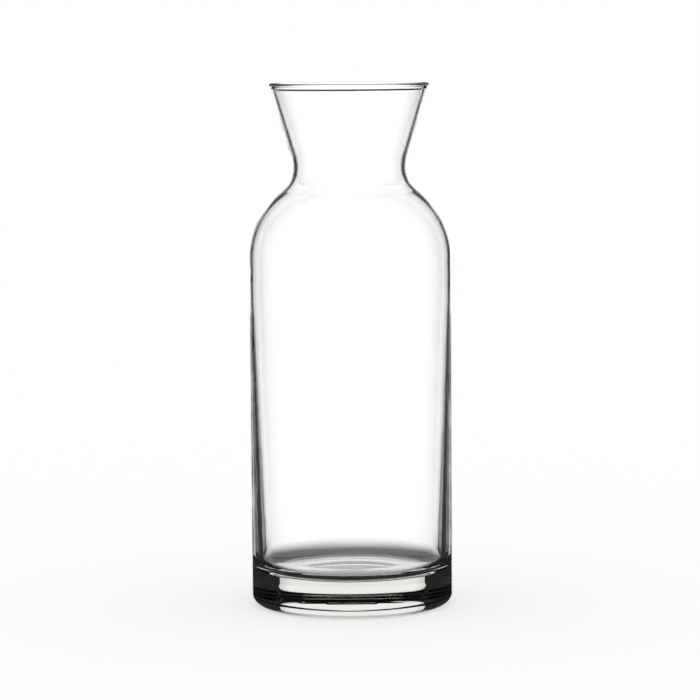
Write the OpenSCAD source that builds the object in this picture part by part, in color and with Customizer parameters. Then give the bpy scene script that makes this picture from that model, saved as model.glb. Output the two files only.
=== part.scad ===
// Open water carafe, one piece of clear glass.
// A straight round body stands on a thick base. It curves in over a shoulder
// to a narrow waist and opens again in a straight flare with a beaded rim.
// The whole piece is one outline turned about the Z axis. The origin is at
// the middle of the surface it stands on.

/* [Body] */
// Outer diameter of the straight body
body_d = 92; // [84:1:110]
// Height from the standing surface to the top of the rim
height = 237.4; // [180:0.1:290]
// Rounding of the outside corner under the body
heel_r = 5.1; // [2:0.1:7]
// Rounding of the shoulder, on the outside
shoulder_r = 37.8; // [32:0.1:46]

/* [Waist and flare] */
// Outer diameter at the narrowest place
waist_d = 52.2; // [44:0.2:58]
// Height of the flare, from the narrowest place to the top of the rim
flare_h = 37.7; // [28:0.1:50]
// Hollow rounding between the shoulder and the waist, on the outside
below_waist_r = 13.3; // [10:0.1:24]
// Hollow rounding between the waist and the flare, on the outside
above_waist_r = 13.7; // [6:0.1:20]
// Outer diameter over the rim bead
rim_d = 72.4; // [64:0.1:84]
// Thickness of the bead along the rim, which is round at its top and bottom
bead_d = 1.9; // [1.4:0.1:3.2]
// Straight length of the bead between its two roundings, along the flare
bead_long = 1.1; // [0.2:0.1:2]
// How far the bead stands out from the outer face of the flare
bead_proud = 0.45; // [0.15:0.05:0.6]

/* [Walls] */
// Wall at the waist
neck_wall = 2.3; // [1.2:0.1:3]
// Wall of the upper body and shoulder
body_wall = 1.6; // [1.2:0.1:2.4]
// Length of the thin straight wall below the shoulder, above the thickening
thin_run = 22.2; // [12:0.2:50]
// Height over which the wall bends from thin to thickening
taper_blend = 12; // [4:1:20]
// Wall of the body where it meets the floor of the cavity
base_wall = 5.1; // [3:0.1:8]
// Thickness of the solid base under the cavity
base_t = 15.5; // [8:0.5:24]
// Rounding between the cavity wall and its floor
floor_r = 8; // [3:0.5:12]

/* [Underside] */
// Width of the flat ring that it stands on, between the corner and the hollow
stand_w = 0.9; // [0.5:0.1:10]
// Depth of the hollow under the base, at its middle
kick_h = 1.6; // [0.4:0.1:3]
// Steepening of the hollow towards its middle: 1 gives a cone, more a peak
kick_power = 2.5; // [1:0.1:4]
// Rounding of the hollow's peak
kick_tip = 0.5; // [0.1:0.1:5]
// Number of low pressed rings in the hollow
ring_count = 4; // [2:1:6]
// Height of each pressed ring
ring_h = 0.03; // [0.01:0.01:0.3]

/* [Hidden] */
$fn = 180;
// Points on each rounding and on each pressed ring
arc_steps = 20;
ring_steps = 6;
half_turn = 180;

body_r = body_d / 2;
waist_r = waist_d / 2;
bead_r = bead_d / 2;
kick_r = body_r - heel_r - stand_w;
waist_z = height - flare_h;

// Points on an arc about c with radius r, from angle a to angle b
function arc(c, r, a, b, n = arc_steps) =
    [for (i = [0:n]) c + r * [cos(a + (b - a) * i / n), sin(a + (b - a) * i / n)]];

// Points on the curve that leaves p towards q and arrives at s from q
function bend(p, q, s, n = arc_steps) =
    [for (i = [0:n]) let (t = i / n) (1 - t) * (1 - t) * p + 2 * t * (1 - t) * q + t * t * s];

// Angle through which two equal turns with radii that sum to reach step in by depth
function turn(depth, reach) = acos(1 - depth / reach);

// Angle of the line that leaves a circle about c on its left and passes a
// circle about p, where gap is the first radius less the signed second one
function left_line(c, p, gap) =
    let (v = p - c) atan2(v[1], v[0]) + acos(gap / norm(v));

// Centres of the roundings at the waist and of the bead's upper rounding
below_c = [waist_r + below_waist_r, waist_z];
above_c = [waist_r + above_waist_r, waist_z];
bead_c = [rim_d / 2 - bead_r, height - bead_r];

// Outside: the shoulder and the hollow rounding over it meet in one slope
reach_out = shoulder_r + below_waist_r;
turn_out = turn(body_r - waist_r, reach_out);
shoulder_c = [body_r - shoulder_r, waist_z - reach_out * sin(turn_out)];
bead_in = bead_r - bead_proud;
flare_out = left_line(above_c, bead_c, above_waist_r + bead_in);
bead_low_c = bead_c - bead_long * [sin(flare_out), -cos(flare_out)];
bead_side = flare_out - half_turn;
bead_start = bead_side - acos(bead_in / bead_r);

// Inside: the same two roundings, changed by the walls
shoulder_in_r = shoulder_r - body_wall;
below_in_r = below_waist_r + neck_wall;
above_in_r = above_waist_r + neck_wall;
reach_in = shoulder_in_r + below_in_r;
turn_in = turn(body_r - body_wall - waist_r + neck_wall, reach_in);
shoulder_in_c = [body_r - shoulder_r, waist_z - reach_in * sin(turn_in)];
flare_in = left_line(above_c, bead_c, above_in_r - bead_r);

// Lower cavity wall: a straight taper that ends in the floor rounding
thin_r = body_r - body_wall;
taper_top = shoulder_c[1] - thin_run;
taper_run = taper_top - base_t;
taper_angle = atan((base_wall - body_wall) / taper_run);
function taper_at(z) = thin_r - (taper_top - z) * tan(taper_angle);
floor_c = [taper_at(base_t + floor_r) - floor_r / cos(taper_angle), base_t + floor_r];

// Underside height at radius r: a push-up with a rounded peak and low pressed
// rings. Share s of the way out runs from 0 on the axis to 1 at the flat ring
kick_run = norm([kick_r, kick_tip]) - kick_tip;
function kick(r) =
    let (s = (norm([r, kick_tip]) - kick_tip) / kick_run)
    kick_h * pow(max(0, 1 - s), kick_power) + ring_h / 2 * (1 - cos(360 * ring_count * r / kick_r));
kick_steps = ring_count * ring_steps;

underside = [for (i = [0:kick_steps]) let (r = kick_r * i / kick_steps) [r, kick(r)]];

outside = concat(
    arc([body_r - heel_r, heel_r], heel_r, -90, 0),
    arc(shoulder_c, shoulder_r, 0, turn_out),
    arc(below_c, below_waist_r, half_turn + turn_out, half_turn),
    arc(above_c, above_waist_r, half_turn, flare_out),
    arc(bead_low_c, bead_r, bead_start, bead_side),
    arc(bead_c, bead_r, bead_side, flare_in)
);

inside = concat(
    arc(above_c, above_in_r, flare_in, half_turn),
    arc(below_c, below_in_r, half_turn, half_turn + turn_in),
    arc(shoulder_in_c, shoulder_in_r, turn_in, 0),
    bend([thin_r, taper_top + taper_blend / 2], [thin_r, taper_top],
         [taper_at(taper_top - taper_blend / 2), taper_top - taper_blend / 2]),
    arc(floor_c, floor_r, -taper_angle, -90),
    [[0, base_t]]
);

// The one piece of glass, with its cavity open at the top
module glass_carafe() {
    color([0.86, 0.93, 0.91, 0.35])
        rotate_extrude()
            polygon(concat(underside, outside, inside));
}

glass_carafe();
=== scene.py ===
"""Looks of one open water carafe of clear glass: its surface, its glass and the studio round it."""
import math

import bpy
import numpy as np
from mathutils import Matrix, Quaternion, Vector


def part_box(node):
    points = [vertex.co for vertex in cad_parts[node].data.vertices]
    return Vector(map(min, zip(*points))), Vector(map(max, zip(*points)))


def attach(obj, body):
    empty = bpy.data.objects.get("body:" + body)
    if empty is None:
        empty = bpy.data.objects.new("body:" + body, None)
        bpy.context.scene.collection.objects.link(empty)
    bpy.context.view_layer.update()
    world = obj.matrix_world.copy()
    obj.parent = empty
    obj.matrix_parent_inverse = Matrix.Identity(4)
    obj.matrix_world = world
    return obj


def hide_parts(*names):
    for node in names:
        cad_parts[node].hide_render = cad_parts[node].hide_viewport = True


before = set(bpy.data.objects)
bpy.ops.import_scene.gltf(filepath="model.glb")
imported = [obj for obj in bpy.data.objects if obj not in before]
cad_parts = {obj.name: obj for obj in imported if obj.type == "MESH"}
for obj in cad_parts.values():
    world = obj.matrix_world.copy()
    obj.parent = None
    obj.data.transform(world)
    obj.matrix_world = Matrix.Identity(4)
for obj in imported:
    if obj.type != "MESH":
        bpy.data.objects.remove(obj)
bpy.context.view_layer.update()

# Driving sizes of the glass, in metres. Height and body width come from the frame
MM = 0.001
box_low, box_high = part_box("glass_carafe")
HEIGHT = box_high[2] - box_low[2]
BODY_R = (box_high[0] - box_low[0]) / 2
HEEL_R = 5.1 * MM
SHOULDER_R = 37.8 * MM
WAIST_R = 26.1 * MM
FLARE_H = 37.7 * MM
WAIST_Z = HEIGHT - FLARE_H
BELOW_WAIST_R = 13.3 * MM
ABOVE_WAIST_R = 13.7 * MM
RIM_R = 36.2 * MM
BEAD_R = 0.95 * MM
BEAD_LONG = 1.1 * MM
BEAD_PROUD = 0.45 * MM
BEAD_FILLET_R = 0.4 * MM
NECK_WALL = 2.3 * MM
BODY_WALL = 1.6 * MM
THIN_RUN = 22.2 * MM
TAPER_BLEND = 12 * MM
BASE_WALL = 5.1 * MM
BASE_T = 15.5 * MM
FLOOR_R = 8 * MM
STAND_W = 0.9 * MM
KICK_R = BODY_R - HEEL_R - STAND_W
KICK_H = 1.6 * MM
KICK_POWER = 2.5
KICK_TIP = 0.5 * MM
RING_COUNT = 4
RING_H = 0.03 * MM

# Unevenness of the glass: low waves, per metre, drawn out round the axis
WAVE_SCALE = 30
WAVE_DRAWN = (0.6, 0.6, 1.6)
WAVE_DETAIL = 2
WAVE_H = 0.15 * MM

# Patches of duller polish, per metre, and the part of their noise over which the polish drops
PATCH_SCALE = 70
PATCH_DETAIL = 3
PATCH_FROM = 0.45
PATCH_TO = 0.75
DULLEST = 0.01
PATCH_TINT = (0.993, 0.996, 0.992, 1)

# How much the glass bends light, the colour that long paths leave of it, and how fast, per metre
GLASS_IOR = 1.52
GLASS_COLOUR = (0.62, 0.625, 0.58, 1)
GLASS_DENSITY = 10

# Fineness of the surface: steps round the axis, and the longest steps on roundings and straights
TURN_STEPS = 280
ARC_STEP = math.radians(6)
ARC_RUN = 1.5 * MM
LEAST_STEPS = 4
LONG_STEP = 4 * MM
RING_STEPS = 12
HEEL_STEPS = 24
FILLET_STEPS = 8
BEAD_LOW_STEPS = 16
BEAD_STEPS = 40
TAPER_STEPS = 16
CORNER_STEPS = 24

# Stretches of the outline that end this close together share one point
SAME_POINT = 0.01 * MM

# The photograph's view: camera distance, height, aim, lens and lean
CAMERA_AWAY = 1.4465
CAMERA_HIGH = 0.2572
CAMERA_SIDE = -0.00034
AIM_HIGH = 0.1162
LENS_SHARE = 4.5585
LEAN = math.radians(-0.40)
SENSOR_W = 36
CLIP_NEAR = 0.05

# The studio: a bright panel close behind the glass, and dark room round it
PANEL_AWAY = 0.24
PANEL_HALF = 0.127
PANEL_HIGH = 0.24
PANEL_LOW = -0.42
PANEL_LIGHT = 1.3
ROOM_DARK = 0.025

# The panel fades between two heights, down to a low level, and a little towards its side edges
PANEL_FADE_START = 0.0
PANEL_FADE_END = -0.155
PANEL_FADE_TO = 0.2
PANEL_SIDE_START = 0.09
PANEL_SIDE_SHARE = 0.75

# The floor, which lies just under the glass so that the two don't share a plane
FLOOR_HALF = 3.0
FLOOR_GAP = 0.05 * MM
FLOOR_COLOUR = 0.4

# How often light may bend, mirror or pass clear surfaces before it is dropped
MOST_BENDS = 40
MOST_MIRRORS = 24
MOST_CLEAR = 16


def arc(centre, radius, start, end, steps=None):
    """Points and travel directions on a circle about centre, from angle start to angle end.

    Angles are in radians. Angle a has point centre + radius (cos a, sin a)."""
    sweep = abs(end - start)
    steps = steps or max(LEAST_STEPS, math.ceil(sweep / ARC_STEP), math.ceil(sweep * radius / ARC_RUN))
    angle = np.linspace(start, end, steps + 1)
    out = np.stack([np.cos(angle), np.sin(angle)], 1)
    along = np.sign(end - start) * np.stack([-out[:, 1], out[:, 0]], 1)
    return np.array(centre) + radius * out, along


def line(p, q):
    """Points and travel directions on the straight stretch from p to q, ends included."""
    p, q = np.array(p, float), np.array(q, float)
    length = np.linalg.norm(q - p)
    share = np.linspace(0, 1, max(1, math.ceil(length / LONG_STEP)) + 1)[:, None]
    return p + share * (q - p), np.repeat([(q - p) / length], len(share), 0)


def bend(p, q, s, steps):
    """The quadratic curve that leaves p towards q and reaches s from q, with its directions."""
    p, q, s = (np.array(v, float) for v in (p, q, s))
    t = np.linspace(0, 1, steps + 1)[:, None]
    along = (1 - t) * (q - p) + t * (s - q)
    points = (1 - t) ** 2 * p + 2 * t * (1 - t) * q + t ** 2 * s
    return points, along / np.linalg.norm(along, axis=1)[:, None]


def turn(depth, reach):
    """Angle through which two roundings whose radii sum to reach step in by depth."""
    return math.acos(1 - depth / reach)


def left_line(c, p, gap):
    """Angle at which a line leaves a circle about c on its left and passes a circle about p."""
    v = np.array(p) - np.array(c)
    return math.atan2(v[1], v[0]) + math.acos(gap / np.linalg.norm(v))


def underside():
    """The pushed-up hollow with its low rings.

    Share s runs from 0 on the axis to 1 at KICK_R, as the root of r squared plus KICK_TIP squared
    does, which rounds the tip. The height is KICK_H times (1 - s) to the power KICK_POWER, plus
    RING_COUNT cosine rings."""
    r = np.linspace(0, KICK_R, RING_COUNT * RING_STEPS + 1)
    run = math.hypot(KICK_R, KICK_TIP) - KICK_TIP
    left = np.maximum(0, 1 - (np.hypot(r, KICK_TIP) - KICK_TIP) / run)
    wave = 2 * math.pi * RING_COUNT / KICK_R
    z = KICK_H * left ** KICK_POWER + RING_H / 2 * (1 - np.cos(wave * r))
    push_slope = -KICK_H * KICK_POWER * left ** (KICK_POWER - 1) * r / np.hypot(r, KICK_TIP) / run
    slope = push_slope + RING_H / 2 * wave * np.sin(wave * r)
    along = np.stack([np.ones_like(r), slope], 1)
    return np.stack([r, z], 1), along / np.linalg.norm(along, axis=1)[:, None]


def outline():
    """The outline of the wall: from the axis under the base, up outside, over the rim and down inside.

    Straight stretches join the roundings along their own directions, so the surface has no crease."""
    right, up = 0.0, math.pi / 2
    below = (WAIST_R + BELOW_WAIST_R, WAIST_Z)
    above = (WAIST_R + ABOVE_WAIST_R, WAIST_Z)
    bead = np.array([RIM_R - BEAD_R, HEIGHT - BEAD_R])
    reach_out = SHOULDER_R + BELOW_WAIST_R
    turn_out = turn(BODY_R - WAIST_R, reach_out)
    shoulder = (BODY_R - SHOULDER_R, WAIST_Z - reach_out * math.sin(turn_out))
    bead_in = BEAD_R - BEAD_PROUD
    flare_out = left_line(above, bead, ABOVE_WAIST_R + bead_in)
    # The fillet under the bead touches the flare and the bead
    out_normal = np.array([-math.cos(flare_out), -math.sin(flare_out)])
    fillet_side = bead_in + BEAD_FILLET_R
    fillet_down = math.sqrt((BEAD_R + BEAD_FILLET_R) ** 2 - fillet_side ** 2)
    flare_up = np.array([-out_normal[1], out_normal[0]])
    bead_low = bead - BEAD_LONG * flare_up
    fillet = bead_low + fillet_side * out_normal - fillet_down * flare_up
    to_fillet = math.atan2(*(fillet - bead_low)[::-1])
    flare_in_r = ABOVE_WAIST_R + NECK_WALL
    flare_in = left_line(above, bead, flare_in_r - BEAD_R)
    below_in_r = BELOW_WAIST_R + NECK_WALL
    shoulder_in_r = SHOULDER_R - BODY_WALL
    reach_in = shoulder_in_r + below_in_r
    turn_in = turn(BODY_R - BODY_WALL - WAIST_R + NECK_WALL, reach_in)
    shoulder_in = (BODY_R - SHOULDER_R, WAIST_Z - reach_in * math.sin(turn_in))
    thin_r = BODY_R - BODY_WALL
    taper_top = shoulder[1] - THIN_RUN
    taper = math.atan((BASE_WALL - BODY_WALL) / (taper_top - BASE_T))

    def taper_at(z):
        """Inner radius of the straight taper at height z."""
        return thin_r - (taper_top - z) * math.tan(taper)

    corner = (taper_at(BASE_T + FLOOR_R) - FLOOR_R / math.cos(taper), BASE_T + FLOOR_R)
    around = [
        underside(),
        arc((BODY_R - HEEL_R, HEEL_R), HEEL_R, -up, right, HEEL_STEPS),
        arc(shoulder, SHOULDER_R, right, turn_out),
        arc(below, BELOW_WAIST_R, math.pi + turn_out, math.pi),
        arc(above, ABOVE_WAIST_R, math.pi, flare_out),
        arc(fillet, BEAD_FILLET_R, flare_out, to_fillet + math.pi, FILLET_STEPS),
        arc(bead_low, BEAD_R, to_fillet, flare_out - math.pi, BEAD_LOW_STEPS),
        arc(bead, BEAD_R, flare_out - math.pi, flare_in, BEAD_STEPS),
        arc(above, flare_in_r, flare_in, math.pi),
        arc(below, below_in_r, math.pi, math.pi + turn_in),
        arc(shoulder_in, shoulder_in_r, turn_in, right),
        bend((thin_r, taper_top + TAPER_BLEND / 2), (thin_r, taper_top),
             (taper_at(taper_top - TAPER_BLEND / 2), taper_top - TAPER_BLEND / 2), TAPER_STEPS),
        arc(corner, FLOOR_R, -taper, -up, CORNER_STEPS),
        (np.array([[0, BASE_T]]), np.array([[-1.0, 0]])),
    ]
    points, along = [around[0][0]], [around[0][1]]
    for stretch, ways in around[1:]:
        gap = np.linalg.norm(stretch[0] - points[-1][-1])
        if gap > SAME_POINT:
            straight, direct = line(points[-1][-1], stretch[0])
            points.append(straight[1:-1])
            along.append(direct[1:-1])
            points.append(stretch)
            along.append(ways)
        else:
            points.append(stretch[1:])
            along.append(ways[1:])
    return np.concatenate(points), np.concatenate(along)


def glass_surface(name):
    """Turns the outline about the Z axis.

    A vertex at turn angle a has place (r cos a, r sin a, z). Its normal is the outline's right-hand
    side, turned by the same angle. Both ends of the outline are single points on the axis, so the
    surface is closed."""
    points, along = outline()
    angle = np.arange(TURN_STEPS) * 2 * math.pi / TURN_STEPS
    spin = np.stack([np.cos(angle), np.sin(angle)], 1)
    ring = points[1:-1]
    facing = np.stack([along[1:-1, 1], -along[1:-1, 0]], 1)
    level = np.repeat(ring[:, None, 1:], TURN_STEPS, 1)
    place = np.concatenate([ring[:, None, :1] * spin, level], 2)
    rise = np.repeat(facing[:, None, 1:], TURN_STEPS, 1)
    normal = np.concatenate([facing[:, None, :1] * spin, rise], 2)
    ends = np.array([[0, 0, points[0, 1]], [0, 0, points[-1, 1]]])
    end_normals = np.array([[0, 0, -1.0], [0, 0, 1.0]])
    vertices = np.concatenate([place.reshape(-1, 3), ends])
    normals = np.concatenate([normal.reshape(-1, 3), end_normals])
    rows = len(ring)
    here = np.arange(TURN_STEPS)
    there = np.roll(here, -1)
    first = np.arange(rows - 1)[:, None] * TURN_STEPS
    after = first + TURN_STEPS
    quads = np.stack([first + here, first + there, after + there, after + here], 2)
    bottom, top = rows * TURN_STEPS, rows * TURN_STEPS + 1
    last = (rows - 1) * TURN_STEPS
    lower = np.stack([np.full(TURN_STEPS, bottom), there, here], 1)
    upper = np.stack([np.full(TURN_STEPS, top), last + here, last + there], 1)
    mesh = bpy.data.meshes.new(name)
    faces = quads.reshape(-1, 4).tolist() + lower.tolist() + upper.tolist()
    mesh.from_pydata(vertices.tolist(), [], faces)
    mesh.polygons.foreach_set("use_smooth", np.ones(len(mesh.polygons), bool))
    mesh.normals_split_custom_set_from_vertices(normals.tolist())
    mesh.update()
    piece = bpy.data.objects.new(name, mesh)
    bpy.context.scene.collection.objects.link(piece)
    return piece


def new_material(name):
    """An empty node material with its output node."""
    material = bpy.data.materials.new(name)
    material.use_nodes = True
    nodes = material.node_tree.nodes
    nodes.clear()
    return material, nodes, material.node_tree.links, nodes.new("ShaderNodeOutputMaterial")


def clear_glass():
    """Clear soda-lime glass: it bends light, mirrors a little, and greys the light on long paths.

    Its walls are slightly uneven, as pressed and blown glass is. Low waves, drawn out round the
    axis, bend the light, and the polish and the clearness change a little from place to place."""
    material, nodes, links, out = new_material("clear_glass")
    place = nodes.new("ShaderNodeTexCoord")
    drawn = nodes.new("ShaderNodeMapping")
    drawn.inputs["Scale"].default_value = WAVE_DRAWN
    waves = nodes.new("ShaderNodeTexNoise")
    waves.inputs["Scale"].default_value = WAVE_SCALE
    waves.inputs["Detail"].default_value = WAVE_DETAIL
    uneven = nodes.new("ShaderNodeBump")
    uneven.inputs["Strength"].default_value = 1
    uneven.inputs["Distance"].default_value = WAVE_H
    patches = nodes.new("ShaderNodeTexNoise")
    patches.inputs["Scale"].default_value = PATCH_SCALE
    patches.inputs["Detail"].default_value = PATCH_DETAIL
    polish = nodes.new("ShaderNodeMapRange")
    polish.inputs["From Min"].default_value = PATCH_FROM
    polish.inputs["From Max"].default_value = PATCH_TO
    polish.inputs["To Max"].default_value = DULLEST
    tint = nodes.new("ShaderNodeValToRGB")
    tint.color_ramp.elements[0].color = PATCH_TINT
    tint.color_ramp.elements[1].color = (1, 1, 1, 1)
    glass = nodes.new("ShaderNodeBsdfPrincipled")
    glass.inputs["IOR"].default_value = GLASS_IOR
    glass.inputs["Transmission Weight"].default_value = 1
    links.new(place.outputs["Object"], drawn.inputs["Vector"])
    links.new(drawn.outputs["Vector"], waves.inputs["Vector"])
    links.new(waves.outputs[0], uneven.inputs["Height"])
    links.new(uneven.outputs["Normal"], glass.inputs["Normal"])
    links.new(place.outputs["Object"], patches.inputs["Vector"])
    links.new(patches.outputs[0], polish.inputs["Value"])
    links.new(polish.outputs["Result"], glass.inputs["Roughness"])
    links.new(patches.outputs[0], tint.inputs["Fac"])
    links.new(tint.outputs["Color"], glass.inputs["Base Color"])
    body = nodes.new("ShaderNodeVolumeAbsorption")
    body.inputs["Color"].default_value = GLASS_COLOUR
    body.inputs["Density"].default_value = GLASS_DENSITY
    links.new(glass.outputs["BSDF"], out.inputs["Surface"])
    links.new(body.outputs["Volume"], out.inputs["Volume"])
    return material


def fading_light():
    """The panel's white light, which fades below the height of the table and a little at its sides."""
    material, nodes, links, out = new_material("panel_white")
    place = nodes.new("ShaderNodeTexCoord")
    split = nodes.new("ShaderNodeSeparateXYZ")
    fade = nodes.new("ShaderNodeMapRange")
    fade.interpolation_type = "SMOOTHSTEP"
    fade.inputs["From Min"].default_value = PANEL_FADE_END
    fade.inputs["From Max"].default_value = PANEL_FADE_START
    fade.inputs["To Min"].default_value = PANEL_FADE_TO
    fade.inputs["To Max"].default_value = PANEL_LIGHT
    off_middle = nodes.new("ShaderNodeMath")
    off_middle.operation = "ABSOLUTE"
    sides = nodes.new("ShaderNodeMapRange")
    sides.interpolation_type = "SMOOTHSTEP"
    sides.inputs["From Min"].default_value = PANEL_SIDE_START
    sides.inputs["From Max"].default_value = PANEL_HALF
    sides.inputs["To Min"].default_value = 1
    sides.inputs["To Max"].default_value = PANEL_SIDE_SHARE
    both = nodes.new("ShaderNodeMath")
    both.operation = "MULTIPLY"
    glow = nodes.new("ShaderNodeEmission")
    links.new(place.outputs["Object"], split.inputs[0])
    links.new(split.outputs["Z"], fade.inputs["Value"])
    links.new(split.outputs["X"], off_middle.inputs[0])
    links.new(off_middle.outputs[0], sides.inputs["Value"])
    links.new(fade.outputs["Result"], both.inputs[0])
    links.new(sides.outputs["Result"], both.inputs[1])
    links.new(both.outputs[0], glow.inputs["Strength"])
    links.new(glow.outputs["Emission"], out.inputs["Surface"])
    return material


def floor_paint():
    """Matt white that the camera sees as pure white where no shadow falls."""
    material, nodes, links, out = new_material("floor_white")
    matt = nodes.new("ShaderNodeBsdfDiffuse")
    matt.inputs["Color"].default_value = (FLOOR_COLOUR,) * 3 + (1,)
    glow = nodes.new("ShaderNodeEmission")
    path = nodes.new("ShaderNodeLightPath")
    share = nodes.new("ShaderNodeMath")
    share.operation = "MULTIPLY"
    share.inputs[1].default_value = 1 - FLOOR_COLOUR
    both = nodes.new("ShaderNodeAddShader")
    links.new(path.outputs["Is Camera Ray"], share.inputs[0])
    links.new(share.outputs[0], glow.inputs["Strength"])
    links.new(matt.outputs["BSDF"], both.inputs[0])
    links.new(glow.outputs["Emission"], both.inputs[1])
    links.new(both.outputs["Shader"], out.inputs["Surface"])
    return material


def plate(name, corners, material, parent=None):
    """A flat stage surface through four corners."""
    mesh = bpy.data.meshes.new(name)
    mesh.from_pydata([tuple(c) for c in corners], [], [(0, 1, 2, 3)])
    mesh.materials.append(material)
    piece = bpy.data.objects.new(name, mesh)
    bpy.context.scene.collection.objects.link(piece)
    piece.parent = parent
    return piece


def only_in_glass(piece):
    """Shows a stage surface only to rays that glass bends or mirrors."""
    piece.visible_camera = False
    piece.visible_diffuse = False
    piece.visible_shadow = False
    piece.visible_volume_scatter = False


def world_light():
    """White for the camera and as soft light on matt surfaces, dark for what glass bends or mirrors."""
    world = bpy.data.worlds.new("soft_white")
    bpy.context.scene.world = world
    world.use_nodes = True
    nodes, links = world.node_tree.nodes, world.node_tree.links
    nodes.clear()
    path = nodes.new("ShaderNodeLightPath")
    in_glass = nodes.new("ShaderNodeMath")
    in_glass.operation = "MAXIMUM"
    strength = nodes.new("ShaderNodeMapRange")
    strength.inputs["To Min"].default_value = 1
    strength.inputs["To Max"].default_value = ROOM_DARK
    background = nodes.new("ShaderNodeBackground")
    background.inputs["Color"].default_value = (1, 1, 1, 1)
    out = nodes.new("ShaderNodeOutputWorld")
    links.new(path.outputs["Is Glossy Ray"], in_glass.inputs[0])
    links.new(path.outputs["Is Transmission Ray"], in_glass.inputs[1])
    links.new(in_glass.outputs[0], strength.inputs["Value"])
    links.new(strength.outputs["Result"], background.inputs["Strength"])
    links.new(background.outputs["Background"], out.inputs["Surface"])
    world.cycles.sampling_method = "NONE"


def set_camera():
    """The photograph's view: from just above the rim, aimed at the middle, and leaning a little."""
    data = bpy.data.cameras.new("camera")
    data.sensor_width = SENSOR_W
    data.lens = SENSOR_W * LENS_SHARE
    data.clip_start = CLIP_NEAR
    camera = bpy.data.objects.new("camera", data)
    bpy.context.scene.collection.objects.link(camera)
    camera.location = (CAMERA_SIDE, -CAMERA_AWAY, CAMERA_HIGH)
    down = math.atan2(CAMERA_HIGH - AIM_HIGH, CAMERA_AWAY)
    camera.rotation_mode = "QUATERNION"
    tilt = Quaternion((1, 0, 0), math.pi / 2 - down)
    camera.rotation_quaternion = tilt @ Quaternion((0, 0, 1), LEAN)
    bpy.context.scene.camera = camera
    return camera


def studio(camera):
    """Floor, and the bright panel, which turns on an empty so that it stays behind the glass."""
    around = [(-1, -1), (1, -1), (1, 1), (-1, 1)]
    corners = [(FLOOR_HALF * x, FLOOR_HALF * y, -FLOOR_GAP) for x, y in around]
    floor = plate("floor", corners, floor_paint())
    floor.visible_transmission = False
    floor.visible_glossy = False
    table = bpy.data.objects.new("turntable", None)
    bpy.context.scene.collection.objects.link(table)
    follow = table.constraints.new("LOCKED_TRACK")
    follow.target = camera
    follow.track_axis = "TRACK_NEGATIVE_Y"
    follow.lock_axis = "LOCK_Z"
    middle = (PANEL_HIGH + PANEL_LOW) / 2
    reach = (PANEL_HIGH - PANEL_LOW) / 2
    corners = [(PANEL_HALF * x, PANEL_AWAY, middle + reach * z) for x, z in around]
    only_in_glass(plate("bright_panel", corners, fading_light(), table))


def finest_light():
    """Lets light pass through all the walls that stand behind one another."""
    cycles = bpy.context.scene.cycles
    cycles.max_bounces = MOST_BENDS
    cycles.transmission_bounces = MOST_BENDS
    cycles.glossy_bounces = MOST_MIRRORS
    cycles.transparent_max_bounces = MOST_CLEAR


bpy.context.scene.view_settings.view_transform = "Standard"
camera = set_camera()
studio(camera)
world_light()
finest_light()
carafe = glass_surface("carafe_glass")
carafe.data.materials.append(clear_glass())
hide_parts("glass_carafe")
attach(carafe, "root")
